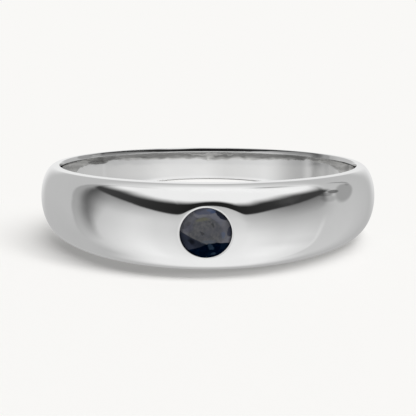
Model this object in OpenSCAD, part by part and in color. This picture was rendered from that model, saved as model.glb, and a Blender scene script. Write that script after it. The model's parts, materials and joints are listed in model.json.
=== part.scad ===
// Christening ring: one cast, domed band that lies on its side, and one round
// stone set flush in its front.
// Millimetres. +Z is up and the stone faces -Y. The origin is on the surface
// that the ring lies on, under the middle of the ring's box.
// The band is wide and thick at the front and narrow and thin at the back, so
// its two side faces aren't parallel, and the finger hole leans back.

/* [Finger hole] */
// Diameter of the finger hole
finger_d = 12; // [11:0.5:14]

/* [Band] */
// Height of the band at the front, at the edge of the finger hole
front_w = 3.35; // [2.9:0.05:3.8]
// Height of the band at the back, at the edge of the finger hole
back_w = 1.36; // [1.2:0.02:2]
// Thickness at the front, from the finger hole to the top of the dome
front_t = 1.77; // [1.7:0.01:2]
// Thickness at the two sides
side_t = 0.79; // [0.76:0.01:0.9]
// Thickness at the back
back_t = 0.7; // [0.6:0.01:0.74]
// Width of the flat side face at the front
front_land = 0.7; // [0.5:0.05:0.9]
// Width of the flat side face at the two sides
side_land = 0.3; // [0.27:0.01:0.4]
// Width of the flat side face at the back
back_land = 0.25; // [0.15:0.01:0.26]
// How far the dome is rounded where it meets a side face, 1 being all the way
dome_fullness = 0.97; // [0.9:0.01:0.98]
// How much the front of the dome is filed flat for the stone
front_flat = 0.2; // [0.15:0.01:0.25]

/* [Stone] */
// Diameter of the stone at its girdle
stone_d = 2.1; // [1.9:0.05:2.2]
// Diameter of the table as a share of the stone's
table_share = 0.62; // [0.5:0.01:0.7]
// How far the table sits above the middle of the stone
table_shift = 0.06; // [0:0.01:0.1]
// Height of the crown as a share of the stone's diameter
crown_share = 0.12; // [0.1:0.01:0.14]
// Depth of the pavilion as a share of the stone's diameter
pavilion_share = 0.42; // [0.38:0.01:0.43]
// Turn of the stone in its seat, in degrees
stone_turn = 9; // [0:1:45]

/* [Seat] */
// Gap between the stone and its seat
seat_gap = 0.02; // [0.02:0.01:0.04]
// How far the rubbed-over edge reaches in over the girdle
lip_reach = 0.03; // [0.02:0.01:0.05]
// Diameter of the light hole behind the stone
light_hole_d = 0.4; // [0.3:0.05:0.5]
// Diameter that the light hole is flared out to at the finger hole
flare_d = 0.9; // [0.7:0.1:1]

/* [Hidden] */

// Fineness of the domed surface: sections round the ring and points across
SECTIONS = 96;
ACROSS = 22;
ROUND = 96;

finger_r = finger_d / 2;

// The side faces are planes. Half the band's height is mid_half_w at the axis
// of the hole and changes by side_slope for each millimetre towards the front.
mid_half_w = (front_w + back_w) / 4;
side_slope = (front_w - back_w) / (4 * finger_r);
lean = atan(side_slope);

// A size that runs smoothly from the back, past the sides, to the front
function blend_power(front, side, back) = ln((side - back) / (front - back)) / ln(0.5);
function round_the_ring(turn, front, side, back) =
    back + (front - back) * pow((1 + cos(turn)) / 2, blend_power(front, side, back));
function thickness(turn) = round_the_ring(turn, front_t, side_t, back_t);
function land(turn) = round_the_ring(turn, front_land, side_land, back_land);

// The dome is an arc of an ellipse, cut off by the side faces at dome_end
dome_end = asin(dome_fullness);
past_the_face = 1.02;
last_arc = asin(dome_fullness * past_the_face);
function dome_rise(arc) = (cos(arc) - cos(dome_end)) / (1 - cos(dome_end));
function dome_r(turn, arc) =
    finger_r + land(turn) + (thickness(turn) - land(turn)) * dome_rise(arc);

// A point of the band: turn 0 is the front, share 1 is the upper side face
function band_point(turn, radius, share) = [
    radius * sin(turn),
    -radius * cos(turn),
    share * (mid_half_w + side_slope * radius * cos(turn))
];

// One section, from the lower inner corner over the dome to the upper one.
// The inner side lies inside the finger hole, which is cut out afterwards.
inner_depth = 0.4;
inner_r = finger_r - inner_depth;
function section(turn) = concat(
    [band_point(turn, inner_r, -past_the_face)],
    [for (i = [0 : ACROSS - 1])
        let (arc = -last_arc + 2 * last_arc * i / (ACROSS - 1))
        band_point(turn, dome_r(turn, arc), sin(arc) / dome_fullness)],
    [band_point(turn, inner_r, past_the_face)]
);

SECTION_POINTS = ACROSS + 2;

// The stone and where it sits. Its girdle lies just under the filed flat, and
// the lip over it has a small bevel that opens out to the flat.
flat_r = finger_r + front_t - front_flat;
lip_h = 0.05;
lip_bevel = 0.03;
bevel_h = 0.01;
girdle_t = 0.04;
girdle_r = flat_r - lip_h - bevel_h;
stone_r = stone_d / 2;
table_r = stone_r * table_share;
crown_h = crown_share * stone_d;
pavilion_h = pavilion_share * stone_d;

// Lays the ring on its lower side face, with its box centred on the origin.
// The stone's table is the furthest point at the front.
front_reach = (girdle_r + crown_h) * cos(lean) + (table_r - table_shift) * sin(lean);
back_reach = (finger_r + back_t) * cos(lean);
hole_y = (front_reach - back_reach) / 2;
hole_z = mid_half_w * cos(lean);
module lay_down() {
    translate([0, hole_y, hole_z]) rotate([-lean, 0, 0]) children();
}

// The stone's own frame: z = 0 at the top of its girdle, +Z out of the ring, +Y up
module at_stone() {
    translate([0, -girdle_r, 0]) rotate([90, 0, 0]) children();
}

// The dome all the way round, with no hole yet
module domed_blank() {
    points = [for (s = [0 : SECTIONS - 1]) each section(360 * s / SECTIONS)];
    faces = [for (s = [0 : SECTIONS - 1], i = [0 : SECTION_POINTS - 1])
        let (
            t = (s + 1) % SECTIONS,
            j = (i + 1) % SECTION_POINTS,
            a = s * SECTION_POINTS + i,
            b = s * SECTION_POINTS + j,
            c = t * SECTION_POINTS + j,
            d = t * SECTION_POINTS + i
        )
        each [[a, b, c], [a, c, d]]];
    polyhedron(points = points, faces = faces, convexity = 6);
}

// Cutting shapes: BIG is larger than the ring, PAST runs past its wall
BIG = 40;
PAST = 3;

// Everything above the upper side face; mirrored, below the lower one
module past_side_face() {
    translate([0, 0, mid_half_w])
        rotate([-lean, 0, 0])
            translate([-BIG / 2, -BIG / 2, 0])
                cube([BIG, BIG, BIG / 4]);
}

// The seat: a hole that narrows behind the stone and flares out again at the
// finger hole, with an edge that is rubbed in over the girdle and opens out
// again to the filed flat
module seat() {
    wall_r = stone_r + seat_gap;
    lip_r = stone_r - lip_reach;
    hole_r = light_hole_d / 2;
    flare_r = flare_d / 2;
    flare_h = flare_r - hole_r;
    finger_wall = girdle_r - finger_r;
    cone_h = (stone_r - hole_r) * pavilion_h / (stone_r - culet_r);
    rotate_extrude($fn = ROUND)
        polygon([
            [0, -PAST],
            [flare_r + PAST - finger_wall, -PAST],
            [hole_r, -finger_wall + flare_h],
            [hole_r, -girdle_t - cone_h - seat_gap],
            [wall_r, -girdle_t - seat_gap],
            [wall_r, seat_gap / 2],
            [lip_r, lip_reach + seat_gap],
            [lip_r + lip_bevel, lip_h + 2 * bevel_h],
            [lip_r + lip_bevel, PAST],
            [0, PAST]
        ]);
}

module band() {
    color("Gainsboro")
        lay_down()
            difference() {
                domed_blank();
                past_side_face();
                mirror([0, 0, 1]) past_side_face();
                cylinder(r = finger_r, h = BIG, center = true, $fn = ROUND * 2);
                translate([-BIG / 2, -flat_r - BIG, -BIG / 2]) cube([BIG, BIG, BIG]);
                at_stone() seat();
            }
}

// Points of a brilliant cut: table, crown, girdle, pavilion and culet. The
// crown's eight middle points lie star_out beyond halfway to the girdle.
FOLDS = 8;
star_out = 0.02;
culet_r = 0.04;
function ring_of(count, radius, height, start, shift = 0) = [
    for (i = [0 : count - 1])
        let (turn = start + 360 * i / count)
        [radius * cos(turn), radius * sin(turn) + shift, height]
];

module stone() {
    step = 360 / FOLDS;
    star_r = (stone_r + table_r) / 2 + star_out;
    star_h = crown_h * (stone_r - star_r * cos(step / 2)) / (stone_r - table_r);
    points = concat(
        ring_of(FOLDS, table_r, crown_h, 0, table_shift),
        ring_of(FOLDS, star_r, star_h, step / 2, table_shift / 2),
        ring_of(2 * FOLDS, stone_r, 0, 0),
        ring_of(2 * FOLDS, stone_r, -girdle_t, 0),
        ring_of(FOLDS, culet_r, -girdle_t - pavilion_h, 0)
    );
    color("MidnightBlue")
        lay_down()
            at_stone()
                rotate([0, 0, stone_turn])
                    hull() polyhedron(points = points, faces = [[for (i = [0 : len(points) - 1]) i]]);
}

band();
stone();
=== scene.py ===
"""Christening ring: a polished silver band that lies on its side, with one
sapphire set flush in its front."""

import json
import math
import random

import bmesh
import bpy
from mathutils import Matrix, Vector


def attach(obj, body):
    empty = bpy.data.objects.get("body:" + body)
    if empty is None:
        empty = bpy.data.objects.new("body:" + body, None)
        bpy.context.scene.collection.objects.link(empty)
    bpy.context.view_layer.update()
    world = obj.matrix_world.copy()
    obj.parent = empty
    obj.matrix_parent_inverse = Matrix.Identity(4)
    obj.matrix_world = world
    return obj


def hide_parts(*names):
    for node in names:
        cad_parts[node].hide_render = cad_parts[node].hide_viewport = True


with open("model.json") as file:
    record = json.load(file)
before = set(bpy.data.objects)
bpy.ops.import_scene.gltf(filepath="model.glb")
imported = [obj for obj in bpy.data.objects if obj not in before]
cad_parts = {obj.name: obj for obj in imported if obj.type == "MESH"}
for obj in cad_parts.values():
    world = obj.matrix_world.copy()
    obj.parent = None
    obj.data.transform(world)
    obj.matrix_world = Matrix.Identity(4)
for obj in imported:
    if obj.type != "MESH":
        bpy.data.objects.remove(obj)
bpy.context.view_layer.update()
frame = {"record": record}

MM = 0.001

# The finger hole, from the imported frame
HOLE = next(m for m in frame["record"]["mounts"] if m["name"] == "finger_hole")
HOLE_R = HOLE["dims"]["r_mm"]
LEAN = math.atan2(HOLE["axis"][1], HOLE["axis"][2])
TO_REST = Matrix.Translation(HOLE["pos_m"]) @ Matrix.Rotation(-LEAN, 4, "X") @ Matrix.Scale(MM, 4)

# Sizes of the band in millimetres, as the solids have them
FRONT_W = 3.35
BACK_W = 1.36
FRONT_T, SIDE_T, BACK_T = 1.77, 0.79, 0.7
FRONT_LAND, SIDE_LAND, BACK_LAND = 0.7, 0.3, 0.25
DOME_FULLNESS = 0.97

# The front is filed almost flat for the stone, a little more on its right
FLAT_R = 7.626
FLAT_YAW = 0.0385
FLAT_ROUNDING = 9.5

# The opening that the stone shows through, a little wider than high and a little
# below the middle, and the width of the bevel round it
OPENING_X, OPENING_Z = 1.038, 1.002
OPENING_DROP = 0.078
RIM_WIDTH = 0.074

# The seat behind it: where the stone's girdle lies, how far below the middle, the
# seat's wall, and the light hole, narrow and where it's flared
GIRDLE_R = 7.455
STONE_DROP = 0.06
WALL_R = 1.055
NARROW_R, FLARE_R = 0.2, 0.45

# The wall of the finger hole is rounded by this much towards both edges
COMFORT = 0.016

# How softly the polished edges are rounded, in millimetres
OUTER_EDGE = 0.012
FLAT_EDGE = 0.03

# The eased inner edge, from the side face down: how far outside the wall of the
# finger hole each step is, and how far below the side face
EDGE_STEPS = (
    (0.07, 0.0),
    (0.062, 0.003),
    (0.057, 0.01),
    (0.041, 0.04),
    (0.028, 0.07),
    (0.018, 0.1),
    (0.008, 0.13),
    (0.0, 0.16),
)

MID_HALF_W = (FRONT_W + BACK_W) / 4
SIDE_SLOPE = (FRONT_W - BACK_W) / (4 * HOLE_R)
DOME_END = math.asin(DOME_FULLNESS)

# How often the front's depth is worked out until it settles, and the share of
# the dome that is read for it at most
DEPTH_ROUNDS = 8
DOME_READ = 0.999


def mix(a, b, share):
    return a + (b - a) * share


def smooth(t):
    t = min(max(t, 0.0), 1.0)
    return t * t * (3 - 2 * t)


def soft_min(a, b, softness):
    return (a + b - math.hypot(a - b, softness)) / 2


# The band's form


def round_the_ring(turn, front, side, back):
    """A size that runs smoothly from the front, past the sides, to the back."""
    power = math.log((side - back) / (front - back)) / math.log(0.5)
    return back + (front - back) * ((1 + math.cos(turn)) / 2) ** power


def half_height(turn, radius):
    return MID_HALF_W + SIDE_SLOPE * radius * math.cos(turn)


def dome(turn, arc):
    """Radius, and share of the half height, of a point of the dome."""
    thick = round_the_ring(turn, FRONT_T, SIDE_T, BACK_T)
    land = round_the_ring(turn, FRONT_LAND, SIDE_LAND, BACK_LAND)
    rise = (math.cos(arc) - math.cos(DOME_END)) / (1 - math.cos(DOME_END))
    return HOLE_R + land + (thick - land) * rise, math.sin(arc) / DOME_FULLNESS


def file_flat(x, depth, z):
    """The dome's depth at its front after the flat is filed."""
    flat = FLAT_R - FLAT_YAW * x - z * z / FLAT_ROUNDING
    return soft_min(depth, flat, FLAT_EDGE)


def front_depth(x, z):
    """How far the front lies from the hole's axis, at a place near the stone."""
    depth = FLAT_R
    for _ in range(DEPTH_ROUNDS):
        turn = math.atan2(x, depth)
        share = abs(z) / half_height(turn, math.hypot(x, depth))
        radius, _ = dome(turn, math.asin(min(share * DOME_FULLNESS, DOME_READ)))
        depth = math.sqrt(radius * radius - x * x)
    return file_flat(x, depth, z)


# Stations of half a section, from the middle of the dome to the middle of the
# finger hole's wall. Their sum has to be even, so that a station of the circle
# that is spun falls on each of its four outermost places.
SEAT_ROWS = 26
SHOULDER_ROWS = 12
LAND_ROWS = 5
EDGE_ROWS = len(EDGE_STEPS) - 1
WALL_ROWS = 12
HALF_STATIONS = SEAT_ROWS + SHOULDER_ROWS + LAND_ROWS + EDGE_ROWS + WALL_ROWS
SEAT_SHARE = 0.84
SEAT_ARC = math.asin(DOME_FULLNESS * SEAT_SHARE)
LAST_ARC = math.radians(86)

# Columns of half the ring, from front to back: those at the stone are
# FINE_COLUMN of the others' width, which is reached WIDENING columns further on
SEAT_COLUMNS = 26
HALF_COLUMNS = 200
FINE_COLUMN = 0.45
WIDENING = 40

# The openings of the seat in the dome and of the light hole in the wall. Each
# is a rectangle of the grid that is drawn into a round: half its columns and
# rows, and half those of the patch round it that takes up the change. The power
# SPREAD makes the patch's cells wider from the hole outwards.
SEAT_HOLE = (12, 12)
SEAT_PATCH = (SEAT_COLUMNS, SEAT_ROWS)
SEAT_PATCH_R = 1.5
LIGHT_HOLE = (12, 5)
LIGHT_PATCH = (24, 10)
LIGHT_PATCH_R = 0.8
SPREAD = 1.4

# The bright bevel round the opening, from the rim inwards: how far outside the
# opening each step is, and how far below the front
BEVEL_STEPS = ((0.062, 0.002), (0.045, 0.009), (0.018, 0.021), (0.0035, 0.028), (0.0, 0.034), (0.003, 0.04))

# The seat below it: radius, and height above the stone's girdle. The steps under
# LIGHT_HOLE_TOP aren't lowered with the stone.
SEAT_STEPS = ((WALL_R, 0.012), (WALL_R, -0.06), (0.76, -0.31), (NARROW_R, -0.8))
LIGHT_HOLE_TOP = -0.5

# The flare of the light hole: radius, and depth in from the finger hole
FLARE_STEPS = ((NARROW_R, 0.28), (0.207, 0.25), (0.225, 0.225), (0.4, 0.05), (0.425, 0.028))

# The band begins as a plain tube of radius 1, spun this far from the axis
TUBE_AT = 3.0


def column_turns():
    """The turn of each column: close together at the stone, then wider apart."""
    widths = [mix(FINE_COLUMN, 1, smooth((i - SEAT_COLUMNS) / WIDENING)) for i in range(HALF_COLUMNS)]
    unit = math.pi / sum(widths)
    turns = [0.0]
    for width in widths:
        turns.append(turns[-1] + width * unit)
    return turns


def upper_section(turn):
    """Radius and height of each station of the upper half of a section."""
    arcs = [math.asin(DOME_FULLNESS * SEAT_SHARE * j / SEAT_ROWS) for j in range(SEAT_ROWS + 1)]
    arcs += [mix(SEAT_ARC, LAST_ARC, (j + 1) / SHOULDER_ROWS) for j in range(SHOULDER_ROWS)]
    points = []
    for arc in arcs:
        radius, share = dome(turn, arc)
        height = half_height(turn, radius)
        points.append((radius, soft_min(share * height, height, OUTER_EDGE)))
    outer = points[-1][0]
    for j in range(LAND_ROWS):
        radius = mix(outer, HOLE_R + COMFORT + EDGE_STEPS[0][0], (j + 1) / LAND_ROWS)
        points.append((radius, half_height(turn, radius)))
    for outside, below in EDGE_STEPS[1:]:
        radius = HOLE_R + COMFORT + outside
        points.append((radius, half_height(turn, radius) - below))
    top = points[-1][1]
    for j in range(WALL_ROWS):
        share = 1 - (j + 1) / WALL_ROWS
        points.append((HOLE_R + COMFORT * share * share, top * share))
    return points


def draw_to_round(x, z, column, row, hole, patch, half_axes, drop, patch_r):
    """Moves a grid point of a patch so that the hole's rectangle becomes a round."""
    p, q = column / patch[0], row / patch[1]
    reach = max(abs(p), abs(q))
    at_hole = hole[0] / patch[0]
    share = max((reach - at_hole) / (1 - at_hole), 0.0)
    inside = min(reach / at_hole, 1.0)
    angle = math.atan2(q, p)
    target_x = mix(half_axes[0] * inside, patch_r, share ** SPREAD) * math.cos(angle)
    target_z = mix(half_axes[1] * inside, patch_r, share ** SPREAD) * math.sin(angle) - drop
    return mix(target_x, x, smooth(share)), mix(target_z, z, smooth(share))


def wall_row(station):
    """Rows from the middle of the finger hole's wall."""
    return HALF_STATIONS - abs(station)


def band_point(column, station, turns, sections):
    """A point of the band in the hole's own frame, with the front at -Y."""
    turn = math.copysign(turns[abs(column)], column)
    radius, height = sections[abs(column)][abs(station)]
    height = math.copysign(height, station)
    x, depth = radius * math.sin(turn), radius * math.cos(turn)
    if abs(column) <= SEAT_PATCH[0] and abs(station) <= SEAT_PATCH[1]:
        rim = (OPENING_X + RIM_WIDTH, OPENING_Z + RIM_WIDTH)
        grid = (x, height, column, station)
        x, height = draw_to_round(*grid, SEAT_HOLE, SEAT_PATCH, rim, OPENING_DROP, SEAT_PATCH_R)
        depth = front_depth(x, height)
    elif abs(station) <= SEAT_ROWS + SHOULDER_ROWS and depth > 0:
        depth = file_flat(x, depth, height)
    row = wall_row(station) * (1 if station > 0 else -1)
    if abs(column) <= LIGHT_PATCH[0] and abs(row) <= LIGHT_PATCH[1]:
        wall_depth = math.hypot(x, depth)
        grid = (x, height, column, row)
        x, height = draw_to_round(*grid, LIGHT_HOLE, LIGHT_PATCH, (FLARE_R, FLARE_R), 0.0, LIGHT_PATCH_R)
        depth = math.sqrt(wall_depth ** 2 - x * x)
    return Vector((x, -depth, height))


def in_rectangle(face, index, hole, row_of):
    """Whether a face lies in the rectangle of the grid that a hole takes."""
    return all(
        abs(index[v][0]) <= hole[0] and abs(row_of(index[v][1])) <= hole[1]
        for v in face.verts
    )


def extrude_loop(bm, loop):
    made = bmesh.ops.extrude_edge_only(bm, edges=loop)["geom"]
    edges = [g for g in made if isinstance(g, bmesh.types.BMEdge) and g.is_boundary]
    return edges, [g for g in made if isinstance(g, bmesh.types.BMVert)]


def round_angle(place):
    """The angle of a place round the opening, which isn't quite a circle."""
    return math.atan2((place.z + OPENING_DROP) / OPENING_Z, place.x / OPENING_X)


def spin_tube(bm, stations, columns):
    """A plain tube round the axis. Returns each corner's column and station."""
    upright = Matrix.Rotation(math.pi / 2, 3, "X")
    bmesh.ops.create_circle(bm, segments=stations, radius=1)
    bmesh.ops.rotate(bm, verts=bm.verts, cent=(0, 0, 0), matrix=upright)
    bmesh.ops.translate(bm, verts=bm.verts, vec=(TUBE_AT, 0, 0))
    bmesh.ops.spin(
        bm,
        geom=bm.verts[:] + bm.edges[:],
        cent=(0, 0, 0),
        axis=(0, 0, 1),
        angle=math.tau,
        steps=columns,
        use_merge=True,
    )
    index = {}
    for v in bm.verts:
        column = round(math.atan2(v.co.y, v.co.x) / math.tau * columns)
        from_tube = math.hypot(v.co.x, v.co.y) - TUBE_AT
        station = round(math.atan2(v.co.z, from_tube) / math.tau * stations)
        index[v] = (column, station)
    return index


def sink_seat(bm, loop):
    """Draws the rim in to the bevel, the seat, the light hole and its flare."""
    for outside, below in BEVEL_STEPS:
        loop, verts = extrude_loop(bm, loop)
        for v in verts:
            angle = round_angle(v.co)
            x = (OPENING_X + outside) * math.cos(angle)
            z = (OPENING_Z + outside) * math.sin(angle) - OPENING_DROP
            v.co = Vector((x, below - front_depth(x, z), z))
    flare = tuple((radius, HOLE_R + deep - GIRDLE_R) for radius, deep in FLARE_STEPS)
    for radius, height in SEAT_STEPS + flare:
        loop, verts = extrude_loop(bm, loop)
        for v in verts:
            angle = round_angle(v.co)
            drop = STONE_DROP if height > LIGHT_HOLE_TOP else 0.0
            x = radius * math.cos(angle)
            z = radius * math.sin(angle) - drop
            v.co = Vector((x, -GIRDLE_R - height, z))
    return loop


def make_band():
    bm = bmesh.new()
    index = spin_tube(bm, 2 * HALF_STATIONS, 2 * HALF_COLUMNS)
    turns = column_turns()
    sections = [upper_section(turn) for turn in turns]
    for v, (column, station) in index.items():
        v.co = band_point(column, station, turns, sections)
    front = [f for f in bm.faces if in_rectangle(f, index, SEAT_HOLE, abs)]
    back = [f for f in bm.faces if in_rectangle(f, index, LIGHT_HOLE, wall_row)]
    bmesh.ops.delete(bm, geom=front + back, context="FACES")
    rims = [e for e in bm.edges if e.is_boundary]
    seat_rim = [e for e in rims if -e.verts[0].co.y > GIRDLE_R]
    light_rim = [e for e in rims if -e.verts[0].co.y < GIRDLE_R]
    loop = sink_seat(bm, seat_rim)
    bmesh.ops.bridge_loops(bm, edges=loop + light_rim)
    bmesh.ops.recalc_face_normals(bm, faces=bm.faces[:])
    for f in bm.faces:
        f.smooth = True
    return piece_from(bm, "polished_band", TO_REST)


# The stone: radius, heights of its crown and girdle, how far the table is off the
# middle, and its turn in degrees
STONE_R = 1.035
CROWN_H, GIRDLE_T = 0.25, 0.04
TABLE_SHIFT = 0.05
STONE_TURN = 12

# For each tier of facets: its count, steepness in degrees, turn, and the place it
# is cut through as radius and height
FACET_TIERS = (
    (8, 33.0, 0.0, 1.035, 0.0),
    (16, 37.0, 11.25, 1.04, 0.0),
    (8, 21.0, 22.5, 0.70, 0.213),
    (8, 138.0, 0.0, 1.04, -GIRDLE_T),
    (16, 135.5, 11.25, 1.045, -GIRDLE_T),
)

# How much a hand-cut facet is off in steepness, and how its edges are worn: those
# that fold by more than WORN_FOLD
FACET_SEED = 4
FACET_SLACK = 1.6
FACET_EDGE = 0.006
WORN_FOLD = math.radians(8)

# The round bar that it's cut from, how near two corners count as one, and how
# level a facet has to be to count as the table
BAR_SIDES = 96
BAR_LENGTH = 4
ONE_CORNER = 0.0005
LEVEL = 0.99


def cut_facet(bm, place, normal):
    everything = bm.verts[:] + bm.edges[:] + bm.faces[:]
    bmesh.ops.bisect_plane(bm, geom=everything, plane_co=place, plane_no=normal, clear_outer=True)
    bmesh.ops.holes_fill(bm, edges=[e for e in bm.edges if e.is_boundary], sides=0)


def make_stone():
    """A round bar that is cut facet by facet, as a cutter does it."""
    slack = random.Random(FACET_SEED)
    bm = bmesh.new()
    facet_reflection = bm.faces.layers.float.new("facet_tone")
    bmesh.ops.create_cone(
        bm, cap_ends=True, segments=BAR_SIDES, radius1=STONE_R, radius2=STONE_R, depth=BAR_LENGTH
    )
    cut_facet(bm, (0, 0, CROWN_H), (0, 0, 1))
    for count, steepness, turn, radius, height in FACET_TIERS:
        for i in range(count):
            around = math.radians(360 * i / count + turn + STONE_TURN)
            tilt = math.radians(steepness + slack.uniform(-FACET_SLACK, FACET_SLACK))
            shift = TABLE_SHIFT * max(height, 0) / CROWN_H
            place = (radius * math.cos(around), radius * math.sin(around) + shift, height)
            normal = (math.sin(tilt) * math.cos(around), math.sin(tilt) * math.sin(around), math.cos(tilt))
            cut_facet(bm, place, normal)
    # Each facet but the table gets a random value for a painted reflection, pale or dark
    for f in bm.faces:
        f[facet_reflection] = slack.uniform(-1, 1) if abs(f.normal.z) < LEVEL else 0.0
    bmesh.ops.remove_doubles(bm, verts=bm.verts[:], dist=ONE_CORNER)
    edges = [e for e in bm.edges if e.is_manifold and e.calc_face_angle() > WORN_FOLD]
    bmesh.ops.bevel(
        bm,
        geom=edges,
        offset=FACET_EDGE,
        segments=1,
        profile=0.5,
        affect="EDGES",
        material=-1,
        clamp_overlap=True,
    )
    bmesh.ops.recalc_face_normals(bm, faces=bm.faces[:])
    seat = Matrix.Translation((0, -GIRDLE_R, -STONE_DROP)) @ Matrix.Rotation(math.pi / 2, 4, "X")
    return piece_from(bm, "sapphire_stone", TO_REST @ seat)


def piece_from(bm, name, place):
    bmesh.ops.transform(bm, matrix=place, verts=bm.verts[:])
    mesh = bpy.data.meshes.new(name)
    bm.to_mesh(mesh)
    bm.free()
    piece = bpy.data.objects.new(name, mesh)
    bpy.context.scene.collection.objects.link(piece)
    return piece


# Shader maths


class Value:
    """A socket of a node tree. Python's operators on it add Math nodes."""

    def __init__(self, nodes, socket):
        self.nodes = nodes
        self.socket = socket

    def beside(self, name):
        """Another output of the same node."""
        return Value(self.nodes, self.socket.node.outputs[name])

    def maths(self, operation, *others):
        inputs = dict(enumerate((self, *others)))
        return self.nodes.add("ShaderNodeMath", {"operation": operation}, inputs)

    def __add__(self, other):
        return self.maths("ADD", other)

    def __mul__(self, other):
        return self.maths("MULTIPLY", other)

    def __sub__(self, other):
        return self.maths("SUBTRACT", other)

    def __rsub__(self, other):
        return self.maths("MULTIPLY", -1.0) + other

    __radd__ = __add__
    __rmul__ = __mul__

    def step(self, low, high, start=0.0, end=1.0):
        """Runs smoothly from start to end while the value goes from low to high."""
        settings = {"interpolation_type": "SMOOTHSTEP", "clamp": True}
        inputs = {0: self, 1: low, 2: high, 3: start, 4: end}
        return self.nodes.add("ShaderNodeMapRange", settings, inputs)

    def ramp(self, low, high, start=0.0, end=1.0):
        """Runs evenly from start to end while the value goes from low to high."""
        inputs = {0: self, 1: low, 2: high, 3: start, 4: end}
        return self.nodes.add("ShaderNodeMapRange", {"clamp": True}, inputs)


class Nodes:
    """A material's or world's node tree, with one method that adds any node."""

    def __init__(self, owner):
        owner.use_nodes = True
        self.tree = owner.node_tree
        self.tree.nodes.clear()

    def add(self, kind, settings=None, inputs=None, output=0):
        node = self.tree.nodes.new(kind)
        for name, value in (settings or {}).items():
            setattr(node, name, value)
        for key, value in (inputs or {}).items():
            if isinstance(value, Value):
                self.tree.links.new(value.socket, node.inputs[key])
            else:
                node.inputs[key].default_value = value
        return Value(self, node.outputs[output]) if len(node.outputs) else None

    def mix_color(self, share, a, b):
        return self.add("ShaderNodeMix", {"data_type": "RGBA"}, {0: share, 6: a, 7: b}, output=2)

    def mix_value(self, share, a, b):
        return self.add("ShaderNodeMix", {"data_type": "FLOAT"}, {0: share, 2: a, 3: b})

    def mix_shader(self, share, a, b):
        return self.add("ShaderNodeMixShader", {}, {0: share, 1: a, 2: b})

    def noise(self, place, scale, detail, roughness=0.5):
        inputs = {"Vector": place, "Scale": scale, "Detail": detail, "Roughness": roughness}
        return self.add("ShaderNodeTexNoise", {}, inputs)

    def place(self):
        """Object coordinates, in metres."""
        return self.add("ShaderNodeTexCoord", output=3)

    def place_from(self, middle, turn=(0, 0, 0)):
        """Object coordinates in millimetres from a middle, in a frame that is turned."""
        inputs = {"Vector": self.place(), "Location": middle, "Rotation": turn, "Scale": (MM,) * 3}
        return self.add("ShaderNodeMapping", {"vector_type": "TEXTURE"}, inputs)

    def split(self, vector):
        """The X of a vector. Its Y and Z are beside it."""
        return self.add("ShaderNodeSeparateXYZ", {}, {0: vector})

    def surface(self, shader):
        self.add("ShaderNodeOutputMaterial", {}, {"Surface": shader})


def spot(across, up, middle, reach, tilt, soft):
    """1 inside an oval and 0 outside it, with a soft edge."""
    c, s = math.cos(math.radians(tilt)), math.sin(math.radians(tilt))
    a, b = across - middle[0], up - middle[1]
    along = (a * c + b * s) * (1 / reach[0])
    over = (b * c - a * s) * (1 / reach[1])
    return (along * along + over * over).step(1 - soft, 1 + soft, 1, 0)


def above_line(across, up, line):
    """How far a place is above a line: its height at the middle and its slope."""
    return up - across * line[1] - line[0]


def grey(level, tint=(1.0, 1.0, 1.0)):
    return tuple(level * t for t in tint) + (1.0,)


# In what follows, a row of two or four numbers is a step or a ramp of a value:
# where it begins and ends, and what it gives there, 0 and 1 if that isn't said.
# A row for noise is its scale, its detail and, where it isn't 0.5, its roughness.

# Silver: its colour, light and dark, and its roughness, which go by the clouds in
# its polish, and how far from the axis the finger hole's wall ends
CLOUD_NOISE = (0.9, 4.0)
SILVER_TINT = (0.997, 0.999, 0.996)
SILVER_LIGHT, SILVER_DARK = 0.955, 0.945
DARK_CLOUDS = (0.4, 0.6)
ROUGHNESS = (0.35, 0.7, 0.035, 0.06)
WALL_END = (HOLE_R + 0.02, HOLE_R + 0.1, 1, 0)

# Painted shade: darker reflections painted as streaks on the back of the wall, across it in millimetres: a
# wide one and a thin one on the right, each with its two sides, and a faint one on the left
BACK_HALF = (0, 1)
WIDE_PAINTED_SHADE = ((2.2, 3.7), (3.8, 4.25, 1, 0.05))
THIN_PAINTED_SHADE = ((4.6, 5.0), (5.1, 5.4, 0.5, 0))
LEFT_PAINTED_SHADE = (-4.4, -1.8, 0.34, 0)
PAINTED_SHADE_GREY = 0.2
PAINTED_SHADE_SHARE = 0.45

# Waves in the finger hole's wall and on the rest, in hundredths of a millimetre
INNER_WAVES = 1.5
INNER_NOISE = (0.55, 3.0, 0.6)
POLISH_WAVES = 0.25
POLISH_NOISE = (1.3, 2.0)
WAVE_UNIT = 0.00001


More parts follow.
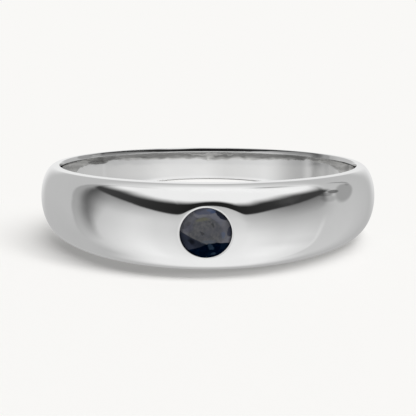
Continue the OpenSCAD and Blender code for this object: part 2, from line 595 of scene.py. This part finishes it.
def silver():
    """Hand-polished silver, a little wavy in the finger hole, with painted shade in streaks on the back of
    its wall.
    """
    material = bpy.data.materials.new("polished_silver")
    n = Nodes(material)
    centred = n.place_from(HOLE["pos_m"], (-LEAN, 0, 0))
    x = n.split(centred)
    y = x.beside("Y")
    inside = (x * x + y * y).maths("SQRT").step(*WALL_END)

    cloud = n.noise(centred, *CLOUD_NOISE)
    light = grey(SILVER_LIGHT, SILVER_TINT)
    dark = grey(SILVER_DARK, SILVER_TINT)
    metal = n.mix_color(cloud.step(*DARK_CLOUDS), light, dark)
    # Painted shade in streaks on the back of the wall, where its reflections look darker
    wide = x.step(*WIDE_PAINTED_SHADE[0]) * x.step(*WIDE_PAINTED_SHADE[1])
    thin = x.step(*THIN_PAINTED_SHADE[0]) * x.step(*THIN_PAINTED_SHADE[1])
    painted_shade = inside * y.step(*BACK_HALF) * (wide + thin + x.step(*LEFT_PAINTED_SHADE))
    metal = n.mix_color(painted_shade * PAINTED_SHADE_SHARE, metal, grey(PAINTED_SHADE_GREY))

    waves = n.noise(centred, *INNER_NOISE)
    polish = n.noise(centred, *POLISH_NOISE)
    height = (waves - 0.5) * inside * INNER_WAVES + polish * POLISH_WAVES
    uneven = n.add("ShaderNodeBump", {}, {"Strength": 1.0, "Distance": WAVE_UNIT, "Height": height})
    looks = {"Base Color": metal, "Metallic": 1.0, "Roughness": cloud.ramp(*ROUGHNESS), "Normal": uneven}
    n.surface(n.add("ShaderNodeBsdfPrincipled", {}, looks))
    return material


# The stone's face in millimetres from the middle of its opening. The grey zone of painted reflection ends
# below along three straight lines, each a height at the middle and a slope, and the slate wedge of painted
# reflection below it ends along a fourth. Then how soft these ends are, how ragged, and the noise that
# makes them so.
PAINTED_SHEEN_LEFT = (-0.4, -0.455)
PAINTED_SHEEN_TONGUE = (-0.42, 0.22)
PAINTED_SHEEN_RIGHT = (-0.275, -0.13)
PAINTED_WEDGE_END = (-0.42, 0.40)
PAINTED_SHEEN_EDGE = (-0.015, 0.02)
PAINTED_WEDGE_EDGE = (-0.02, 0.03)
RAGGEDNESS = 0.07
FINE_NOISE = (5.0, 5.0, 0.65)
BLOTCH_NOISE = (2.1, 2.0)

# The crown is all that lies outside the table: its middle, reach, tilt, softness
TABLE = ((0, 0), (0.7, 0.7), 0, 0.25)

# Colours of the clear part, the grey zone of painted reflection and the slate wedge of painted reflection,
# each dark and light
CLEAR = ((0.0003, 0.0032, 0.012, 1), (0.001, 0.009, 0.03, 1))
PAINTED_SHEEN = ((0.088, 0.092, 0.105, 1), (0.155, 0.157, 0.168, 1))
PAINTED_WEDGE = ((0.028, 0.034, 0.052, 1), (0.044, 0.052, 0.08, 1))
CLEAR_CLOUDS = (0.5, 0.75)
PAINTED_SHEEN_CLOUDS = (0.3, 0.68)

# What blotches, pale facets, dark facets and the crown mix in, all painted reflection and shade: where or
# on which facets, how much of it, and its colour
PAINTED_SHEEN_BLOTCHES = ((0.45, 0.7), 0.5, (0.08, 0.085, 0.115, 1))
PAINTED_SHEEN_PALE_FACETS = ((0.1, 1), 0.5, (0.115, 0.125, 0.18, 1))
PAINTED_SHEEN_DARK_FACETS = ((-0.1, -1), 0.3, (0.06, 0.06, 0.075, 1))
CLEAR_PAINTED_FACETS = ((0.3, 1), 0.6, (0.012, 0.028, 0.055, 1))
PAINTED_SHEEN_CROWN = ((-0.8, 0.8, 0.75, 0.45), (0.2, 0.203, 0.235, 1))

# How far the noise moves the spots' outlines across, and up by each of the two
SPOT_WANDER = 0.22
SPOT_RISE = (0.16, 0.12)

# How smooth the stone is, how it bends light, and how much the grey zone of painted reflection shines
STONE_ROUGHNESS = 0.06
STONE_BENDS = 1.77
PAINTED_SHEEN_COAT = 0.7

# Spots of painted reflection and shade on the stone's face: middle, reach, tilt, softness, strength and
# colour
PAINTED_SPOTS = (
    ((-0.05, 0.97), (0.55, 0.2), 0, 0.35, 0.6, (0.035, 0.045, 0.1, 1)),
    ((0.25, 0.9), (0.2, 0.08), -8, 0.3, 0.7, (0.055, 0.085, 0.17, 1)),
    ((0.63, 0.77), (0.33, 0.16), -42, 0.2, 0.94, (0.014, 0.018, 0.035, 1)),
    ((0.97, 0.08), (0.13, 0.2), 0, 0.3, 0.9, (0.028, 0.032, 0.06, 1)),
    ((-0.12, 0.58), (0.26, 0.07), 3, 0.8, 0.8, (0.17, 0.172, 0.12, 1)),
    ((0.28, 0.37), (0.1, 0.05), -50, 0.8, 0.6, (0.02, 0.021, 0.026, 1)),
    ((0.15, 0.5), (0.05, 0.03), 0, 0.8, 0.5, (0.02, 0.021, 0.026, 1)),
    ((-0.16, 0.06), (0.1, 0.05), -48, 0.8, 0.6, (0.02, 0.021, 0.03, 1)),
    ((0.68, -0.02), (0.08, 0.15), 12, 0.8, 0.75, (0.1, 0.13, 0.21, 1)),
    ((-0.7, 0.22), (0.2, 0.16), 20, 0.9, 0.5, (0.09, 0.095, 0.15, 1)),
    ((-0.68, 0.4), (0.1, 0.07), 40, 0.8, 0.4, (0.03, 0.03, 0.035, 1)),
    ((-0.56, -0.3), (0.12, 0.1), -30, 0.9, 0.7, (0.003, 0.004, 0.006, 1)),
    ((0.12, -0.31), (0.26, 0.08), 0, 0.8, 0.75, (0.11, 0.135, 0.18, 1)),
    ((0.19, -0.52), (0.16, 0.09), -40, 0.4, 0.9, (0.025, 0.046, 0.08, 1)),
    ((0.29, -0.83), (0.11, 0.06), 10, 0.4, 0.8, (0.025, 0.046, 0.08, 1)),
)


def sapphire():
    """A dark blue stone with a grey zone and a slate wedge of painted reflection, and painted reflections
    and shade on its facets.
    """
    material = bpy.data.materials.new("zoned_sapphire")
    n = Nodes(material)
    centred = n.place_from(TO_REST @ Vector((0, -GIRDLE_R, -OPENING_DROP)))
    across = n.split(centred)
    up = across.beside("Z")

    fine = n.noise(centred, *FINE_NOISE)
    blotch = n.noise(centred, *BLOTCH_NOISE)
    ragged = (blotch - 0.5) * RAGGEDNESS
    over_tongue = above_line(across, up, PAINTED_SHEEN_TONGUE)
    over_right = above_line(across, up, PAINTED_SHEEN_RIGHT)
    over_left = above_line(across, up, PAINTED_SHEEN_LEFT)
    over_all = over_left.maths("MINIMUM", over_tongue.maths("MAXIMUM", over_right))
    # The grey zone and the slate wedge below it, both painted reflection
    in_painted_sheen = (over_all + ragged).step(*PAINTED_SHEEN_EDGE)
    in_painted_wedge = (above_line(across, up, PAINTED_WEDGE_END) + ragged).step(*PAINTED_WEDGE_EDGE)
    in_crown = 1 - spot(across, up, *TABLE)
    facet_reflection = n.add("ShaderNodeAttribute", {"attribute_name": "facet_tone"}, output="Fac")

    clear = n.mix_color(fine.step(*CLEAR_CLOUDS), *CLEAR)
    # The grey zone's colour, painted reflection, mottled and blotched
    painted_sheen = n.mix_color(fine.step(*PAINTED_SHEEN_CLOUDS), *PAINTED_SHEEN)
    where, share, colour = PAINTED_SHEEN_BLOTCHES
    painted_sheen = n.mix_color(blotch.step(*where) * share, painted_sheen, colour)
    # Painted reflections, pale or dark by facet, in the grey zone and in the clear part
    for where, share, colour in (PAINTED_SHEEN_PALE_FACETS, PAINTED_SHEEN_DARK_FACETS):
        painted_sheen = n.mix_color(facet_reflection.ramp(*where) * share, painted_sheen, colour)
    where, share, colour = CLEAR_PAINTED_FACETS
    clear = n.mix_color(facet_reflection.ramp(*where) * share, clear, colour)
    where, colour = PAINTED_SHEEN_CROWN
    # A paler painted reflection on the crown, more of it towards the left
    painted_sheen = n.mix_color(in_crown * across.ramp(*where), painted_sheen, colour)
    body = n.mix_color(in_painted_wedge, clear, n.mix_color(in_crown, *PAINTED_WEDGE))
    body = n.mix_color(in_painted_sheen, body, painted_sheen)
    # Spots of painted reflection and shade, their outlines moved by the noise
    across = across + (fine - 0.5) * SPOT_WANDER
    up = up + (blotch - 0.5) * SPOT_RISE[0] + (fine - 0.5) * SPOT_RISE[1]
    for middle, reach, tilt, soft, strength, colour in PAINTED_SPOTS:
        body = n.mix_color(spot(across, up, middle, reach, tilt, soft) * strength, body, colour)
    looks = {
        "Base Color": body,
        "Roughness": STONE_ROUGHNESS,
        "IOR": STONE_BENDS,
        "Specular IOR Level": 0.0,
        "Coat Weight": in_painted_sheen.ramp(0, 1, 0, PAINTED_SHEEN_COAT),
    }
    n.surface(n.add("ShaderNodeBsdfPrincipled", {}, looks))
    return material


PAPER = (0.947, 0.939, 0.922, 1.0)
FLOOR_SIZE = 2.0

# The share of the paper's light that no shadow takes away. It rises towards the
# back, from its share in front to all, and also towards the right, in metres.
GLOW = (-0.0035, 0.003, 0.27, 1)
GLOW_RIGHT = (0.0057, 0.0067, 0, 0.55)

# How near to the metal the paper shows in it, in metres. In the finger hole's
# wall some of the bright paper shows: how much, and in what oval in millimetres.
TOUCH = 0.0001
SHOWN_INSIDE = 0.2
SHOWN_OVAL = ((0.2, 3.6), (2.4, 2.6), 0, 0.95)

# How pale the paper is where the wall shows it at second hand, as a share of
# white: mottled all over, and paler at the back, in front, on a line down the
# middle in front, and at the wall's foot in front, where the first row is for the
# square of the distance from the middle
MOTTLE_NOISE = (900.0, 3.0)
SHADE = (0.35, 0.65, 0.15, 0.3)
SHADE_BACK = ((3.8, 5.2), (2.0, 3.0, 0.16, 0.04))
SHADE_FRONT = (-3.8, -2.6, 0.14, 0)
SHADE_LINE = ((0.05, 0.3, 1, 0), (-0.3, 0.3, 0.2, 0))
SHADE_FOOT = ((23.0, 30.0), (1.2, 2.8, 0.24, 0))

# The nook at the foot of the wall at the back right: its shade, its oval, and how
# far off the metal that shows it has to be, in metres
NOOK = 0.15
NOOK_OVAL = ((3.25, 5.35), (1.6, 0.42), -36, 0.4)
NOOK_SEEN = (0.003, 0.004)


def paper():
    """The pale floor, softly lit. Past the places that it touches, the metal sees
    the studio in its place."""
    material = bpy.data.materials.new("pale_paper")
    n = Nodes(material)
    path = n.add("ShaderNodeLightPath")
    to_metal = path.beside("Is Glossy Ray")
    length = path.beside("Ray Length")
    place = n.place()
    x = n.split(place)
    y = x.beside("Y")
    across, deep = x * (1 / MM), y * (1 / MM)

    sheet = n.add("ShaderNodeBsdfDiffuse", {}, {"Color": PAPER})
    glow = n.add("ShaderNodeEmission", {}, {"Color": PAPER, "Strength": 1.0})
    gone = n.add("ShaderNodeBsdfTransparent")
    unshaded = (y.step(*GLOW) + x.step(*GLOW_RIGHT)).maths("MINIMUM", 1.0)
    lit = n.mix_shader(unshaded * (1 - to_metal), sheet, glow)
    past_touch = length.step(0, TOUCH) * to_metal
    shader = n.mix_shader(past_touch, lit, gone)
    shown = spot(across, deep, *SHOWN_OVAL) * SHOWN_INSIDE
    shader = n.mix_shader(past_touch * shown, shader, glow)

    shade = n.noise(place, *MOTTLE_NOISE).ramp(*SHADE)
    shade = shade + deep.step(*SHADE_BACK[0]) * across.step(*SHADE_BACK[1]) + deep.step(*SHADE_FRONT)
    off_line = across.maths("ABSOLUTE")
    shade = shade + off_line.step(*SHADE_LINE[0]) * deep.step(*SHADE_LINE[1])
    off_middle_squared = across * across + deep * deep
    shade = shade + off_middle_squared.step(*SHADE_FOOT[0]) * deep.step(*SHADE_FOOT[1])
    nook = spot(across, deep, *NOOK_OVAL)
    shade = n.mix_value(nook, shade, NOOK)
    dark = n.add("ShaderNodeEmission", {}, {"Color": PAPER, "Strength": shade})
    second_hand = path.beside("Glossy Depth").step(1, 2)
    in_dark = second_hand.maths("MAXIMUM", nook * length.step(*NOOK_SEEN))
    n.surface(n.mix_shader(past_touch * in_dark, shader, dark))
    return material


# The soft light that falls on the floor: an even sky, a lamp a little behind
# overhead, and a weaker one far out on the right. Each lamp has a middle and
# half sizes on a ceiling at height 1, a tilt, a softness and a strength. A
# direction that rises by less than LEAST_UPRIGHT is taken to rise by that.
SKY_STRENGTH = 0.12
LEAST_UPRIGHT = 0.01
LAMPS = (
    ((0.3, 0.22), (0.62, 0.15), -3, 0.45, 11.4),
    ((1.25, -0.28), (0.6, 0.2), -30, 0.5, 7.0),
)

# How much of what the metal sees it throws on the floor
SPILL = 0.15

# What the metal sees round it, as shares of full white. Every place is a rise
# over the floor and a bearing from the front, right positive, in degrees.

# The front wall's left part by rise, how its top darkens, and by distance left
LEFT_WALL = (-60, 0, 0.78, 0.66)
LEFT_TOP = (0, 40)
LEFT_TOP_DARKNESS = 0.48
LEFT_NEAR = (0, 40, 0.92, 1)
LEFT_FAR = (50, 85, 1, 0.82)

# Its right part, low, high and far, and the wide seam between the two
RIGHT_LOW = (-60, -25, 0.85, 0.73)
RIGHT_HIGH = (-25, 30, 0, 0.5)
RIGHT_FAR = (60, 110, 1, 0.86)
SEAM = (5, 70)

# Changes to it, each by rise and by bearing: its foot, its darker top on the
# right, a pale patch low on the right, a pale foot on the right, and a pale patch
# on the left
FOOT = ((-40, -8, 1, 0), (0, 100, 0.08, -0.13))
TOP_RIGHT = ((5, 25, 0, 0.32), (40, 80))
PALE_RIGHT_RISE = ((-12, 2, 0.2, 0.08), (-60, -20, 0.09, 0), (2, 12, 1, 0))
PALE_RIGHT_BEARING = ((-15, 5), (28, 62, 1, 0))
FOOT_RIGHT = ((-45, -32, 0.13, 0), (30, 60))
PALE_LEFT = ((10, 20, 0.07, 0), (35, 50), (75, 90, 1, 0))

# The grey sides: their level, where and how pale they are at the top, changes by
# rise and bearing on the right and left, and a pale backdrop low down behind
SIDE_WALLS = 0.51
SIDES_TOP = (38, 62)
SIDES_TOP_LEVEL = 0.8
SIDES_RIGHT = ((-40, 5, 0.17, 0.04), (80, 95), (122, 150, 1, -0.5))
SIDES_LEFT = ((-30, -8, 0.06, 0), (85, 100))
BACKDROP = 0.84
BACKDROP_BEARING = (150, 172)
BACKDROP_RISE = -2
BACKDROP_HEIGHT = (9, 20, 1, 0)

# Where they begin: softly on the left, and on the right along a curve, which is
# lowest at EDGE_LOWEST, with a softness by rise and a light line beside it
SIDES_FROM_LEFT = (80, 112)
EDGE_LOWEST = -20
EDGE_CURVE = 0.0095
EDGE_BEARING = 92
EDGE_TOP = (0, 20, 0, 4)
EDGE_SOFT = (-18, 0, 2.5, 14)
EDGE_SOFT_TOP = (2, 14, 0, 11)
LINE_BESIDE = 1.5
LINE_WIDTH = (0, 3.5, 1, 0)
LINE_RISE = ((-50, -30), (-15, 0, 1, 0))
LINE_LIGHT = 0.07

# A dark smudge on the left: its bearing, how it leans over with rise, its fade
# towards the wall, two steps towards the side, and its darkness by rise
SMUDGE_LEFT = 97
SMUDGE_LEAN_FROM = 5
SMUDGE_LEAN = 0.52
SMUDGE_LOW = (-12, 5, -4, 0)
SMUDGE_FADE = ((5, 25, 18, 31), (-12, 5, 9, 0))
SMUDGE_STEPS = ((-1, 12, 0.6, 0), (14, 18, 0.4, 0))
SMUDGE_DARKNESS = ((-36, -10, 0, 0.56), (-10, 0, 0, 0.11), (0, 30, 0, 0.15))

# What stands on the right: middle as bearing and rise, reach, tilt, softness and
# darkness
BYSTANDERS = (
    ((121, 12), (14, 9), 35, 0.4, 0.36),
    ((135.5, 25), (1.8, 8), 0, 0.5, 0.4),
    ((132.5, 16.5), (2.5, 2.5), 0, 0.6, 0.2),
    ((113.5, 21), (5, 3.4), -45, 0.5, 0.68),
    ((105, 23), (7, 3.5), -45, 0.6, 0.45),
    ((103, 15), (7, 5), -45, 0.8, 0.28),
)

# Steeply below, all of it is one level
BELOW = (-75, -50, 1, 0)
BELOW_LEVEL = 0.86

# The dark gap under the overhead light's front edge: its level, the rises of its
# lower and upper edges, which change with the bearing, a bend in the upper one,
# how soft both are, where it closes at both ends, and where only the light is seen
GAP = (10, 100, 0.014, 0.045)
GAP_LOW = 21.3
GAP_LOW_LEFT, GAP_LOW_LEFT_ADDS = (5, 90), 13.6
GAP_LOW_RIGHT, GAP_LOW_RIGHT_ADDS = (28, 62), 4.0
GAP_HIGH = 52.5
GAP_HIGH_FALLS = (((0, 60), 5.1), ((80, 118), 11))
GAP_HIGH_LEFT, GAP_HIGH_LEFT_FALLS_BY = (95, 130), 9
BEND_BEARING = 33
BEND = (4, 22, 4.2, 0)
GAP_LOW_SOFT = (-1.5, 2.5)
GAP_HIGH_SOFT = (-7, 9)
GAP_END_BY_RISE = (32, 45, 0, 18)
GAP_END = (110, 119, 1, 0)
OVERHEAD = 0.88
OVERHEAD_END = (108, 128, 1, 0)
OVERHEAD_FROM = (55, 68)


def front_wall(n, rise, bearing, left):
    """The pale wall in front, darker at its top, and more so on the right."""
    left_wall = rise.ramp(*LEFT_WALL) - rise.ramp(*LEFT_TOP).maths("POWER", 2.0) * LEFT_TOP_DARKNESS
    left_wall = left_wall * left.step(*LEFT_NEAR) * left.step(*LEFT_FAR)
    right_wall = rise.ramp(*RIGHT_LOW) - rise.ramp(*RIGHT_HIGH)
    right_wall = right_wall * bearing.step(*RIGHT_FAR)
    wall = n.mix_value(bearing.step(*SEAM), left_wall, right_wall)
    wall = wall * (1 + rise.ramp(*FOOT[0]) * bearing.ramp(*FOOT[1]))
    wall = wall * (1 - rise.ramp(*TOP_RIGHT[0]) * bearing.step(*TOP_RIGHT[1]))
    paler = rise.ramp(*PALE_RIGHT_RISE[0]) - rise.ramp(*PALE_RIGHT_RISE[1])
    paler = paler * bearing.step(*PALE_RIGHT_BEARING[0]) * bearing.step(*PALE_RIGHT_BEARING[1])
    wall = wall * (1 + paler * rise.step(*PALE_RIGHT_RISE[2]))
    wall = wall * (1 + rise.step(*FOOT_RIGHT[0]) * bearing.step(*FOOT_RIGHT[1]))
    in_patch = left.step(*PALE_LEFT[1]) * left.step(*PALE_LEFT[2])
    return wall * (1 + in_patch * rise.step(*PALE_LEFT[0]))


def grey_sides(n, rise, bearing, left, off_front):
    """The grey sides, with a pale backdrop low down behind."""
    sides = n.mix_value(rise.ramp(*SIDES_TOP), SIDE_WALLS, SIDES_TOP_LEVEL)
    off_backdrop = (rise - BACKDROP_RISE).maths("ABSOLUTE")
    low_behind = off_front.step(*BACKDROP_BEARING) * off_backdrop.step(*BACKDROP_HEIGHT)
    sides = n.mix_value(low_behind, sides, BACKDROP)
    paler = rise.ramp(*SIDES_RIGHT[0]) * bearing.step(*SIDES_RIGHT[1]) * bearing.ramp(*SIDES_RIGHT[2])
    sides = sides * (1 + paler)
    return sides * (1 - left.step(*SIDES_LEFT[1]) * rise.ramp(*SIDES_LEFT[0]))


def smudge_on_left(rise, left):
    """A dark smudge, gentle towards the wall and stepped towards the side."""
    lean = (rise - SMUDGE_LEAN_FROM).maths("MAXIMUM", 0.0) * SMUDGE_LEAN
    off_smudge = left - SMUDGE_LEFT - lean - rise.ramp(*SMUDGE_LOW)
    fade = rise.ramp(*SMUDGE_FADE[0]) - rise.ramp(*SMUDGE_FADE[1])
    smudge = (off_smudge * -1.0).step(0, fade, 1, 0)
    smudge = smudge * (off_smudge.step(*SMUDGE_STEPS[0]) + off_smudge.step(*SMUDGE_STEPS[1]))
    low, middle, high = SMUDGE_DARKNESS
    return smudge * (rise.ramp(*low) + rise.ramp(*middle) + rise.ramp(*high))


def under_overhead(n, seen, rise, bearing, left, off_front):
    """Adds the overhead light, and the dark gap under its front edge."""
    low_edge = left.step(*GAP_LOW_LEFT) * GAP_LOW_LEFT_ADDS
    low_edge = low_edge + bearing.step(*GAP_LOW_RIGHT) * GAP_LOW_RIGHT_ADDS + GAP_LOW
    bend = (bearing - BEND_BEARING).maths("ABSOLUTE").step(*BEND)
    high_edge = GAP_HIGH
    for where, fall in GAP_HIGH_FALLS:
        high_edge = high_edge - bearing.step(*where) * fall
    high_edge = high_edge - left.step(*GAP_HIGH_LEFT) * GAP_HIGH_LEFT_FALLS_BY - bend
    end = off_front - rise.ramp(*GAP_END_BY_RISE)
    in_gap = (rise - low_edge).step(*GAP_LOW_SOFT) * end.step(*GAP_END)
    seen = n.mix_value(in_gap, seen, off_front.ramp(*GAP))
    over = (rise - high_edge).step(*GAP_HIGH_SOFT)
    seen = n.mix_value(over * end.step(*OVERHEAD_END), seen, OVERHEAD)
    return n.mix_value(rise.step(*OVERHEAD_FROM), seen, OVERHEAD)


def studio_light():
    """What the metal sees: a wide soft light overhead, a dark gap in front of it, a
    pale front wall and grey sides. The floor has lamps of its own."""
    world = bpy.data.worlds.new("soft_studio")
    bpy.context.scene.world = world
    n = Nodes(world)
    x = n.split(n.add("ShaderNodeTexCoord"))
    y, z = x.beside("Y"), x.beside("Z")
    rise = z.maths("ARCSINE") * (180 / math.pi)
    bearing = x.maths("ARCTAN2", y * -1.0) * (180 / math.pi)
    left = bearing * -1.0
    off_front = bearing.maths("ABSOLUTE")

    wall = front_wall(n, rise, bearing, left)
    sides = grey_sides(n, rise, bearing, left, off_front)
    edge = (rise - EDGE_LOWEST).maths("POWER", 2.0) * EDGE_CURVE + EDGE_BEARING - rise.ramp(*EDGE_TOP)
    softness = rise.step(*EDGE_SOFT) - rise.step(*EDGE_SOFT_TOP)
    past_right = (bearing - edge).step(softness * -1.0, softness)
    seen = n.mix_value(left.step(*SIDES_FROM_LEFT) + past_right, wall, sides)
    light_line = (bearing - edge + LINE_BESIDE).maths("ABSOLUTE").step(*LINE_WIDTH)
    light_line = light_line * rise.step(*LINE_RISE[0]) * rise.step(*LINE_RISE[1])
    seen = seen + light_line * LINE_LIGHT
    seen = seen * (1 - smudge_on_left(rise, left))
    for middle, reach, tilt, soft, darkness in BYSTANDERS:
        seen = seen * (1 - spot(bearing, rise, middle, reach, tilt, soft) * darkness)
    seen = n.mix_value(rise.step(*BELOW), seen, BELOW_LEVEL)
    seen = under_overhead(n, seen, rise, bearing, left, off_front)

    upright = z.maths("MAXIMUM", LEAST_UPRIGHT)
    lamp_x, lamp_y = x.maths("DIVIDE", upright), y.maths("DIVIDE", upright)
    sky = sum(spot(lamp_x, lamp_y, *lamp) * strength for *lamp, strength in LAMPS) + SKY_STRENGTH
    path = n.add("ShaderNodeLightPath")
    seen = seen * path.beside("Diffuse Depth").step(0, 1, 1, SPILL)
    level = n.mix_value(path.beside("Is Glossy Ray"), sky, seen)
    level = n.mix_value(path.beside("Is Camera Ray"), level, 1.0)
    tint = n.mix_color(path.beside("Is Camera Ray"), grey(1.0), PAPER)
    light = n.add("ShaderNodeBackground", {}, {"Color": tint, "Strength": level})
    n.add("ShaderNodeOutputWorld", {}, {"Surface": light})


def make_floor():
    bm = bmesh.new()
    bmesh.ops.create_grid(bm, x_segments=1, y_segments=1, size=FLOOR_SIZE)
    floor = piece_from(bm, "floor", Matrix.Identity(4))
    floor.data.materials.append(paper())


# The camera: the photograph's angle, frame and scale
CAMERA_RISE = math.radians(16.575)
CAMERA_BEARING = math.radians(0.65)
CAMERA_AWAY = 0.2
CAMERA_NEAR, CAMERA_FAR = 0.001, 10.0
PIXELS = 416
PIXELS_PER_MM = 24.386
SENSOR = 36.0
AXIS_PIXEL = 219.99


def make_camera():
    data = bpy.data.cameras.new("camera")
    camera = bpy.data.objects.new("camera", data)
    bpy.context.scene.collection.objects.link(camera)
    turn = Matrix.Rotation(CAMERA_BEARING, 3, "Z")
    up = turn @ Vector((0, math.sin(CAMERA_RISE), math.cos(CAMERA_RISE)))
    towards = turn @ Vector((0, math.cos(CAMERA_RISE), -math.sin(CAMERA_RISE)))
    aim = Vector((0, HOLE["pos_m"][1], 0)) + up * ((AXIS_PIXEL - PIXELS / 2) / PIXELS_PER_MM * MM)
    camera.location = aim - towards * CAMERA_AWAY
    camera.rotation_euler = towards.to_track_quat("-Z", "Y").to_euler()
    data.sensor_width = SENSOR
    data.lens = SENSOR * PIXELS_PER_MM * CAMERA_AWAY / MM / PIXELS
    data.clip_start = CAMERA_NEAR
    data.clip_end = CAMERA_FAR
    bpy.context.scene.camera = camera


make_camera()
make_floor()
studio_light()
bpy.context.scene.view_settings.view_transform = "Standard"

band = make_band()
band.data.materials.append(silver())
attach(band, "root")
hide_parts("band")

stone = make_stone()
stone.data.materials.append(sapphire())
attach(stone, "root")
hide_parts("stone")
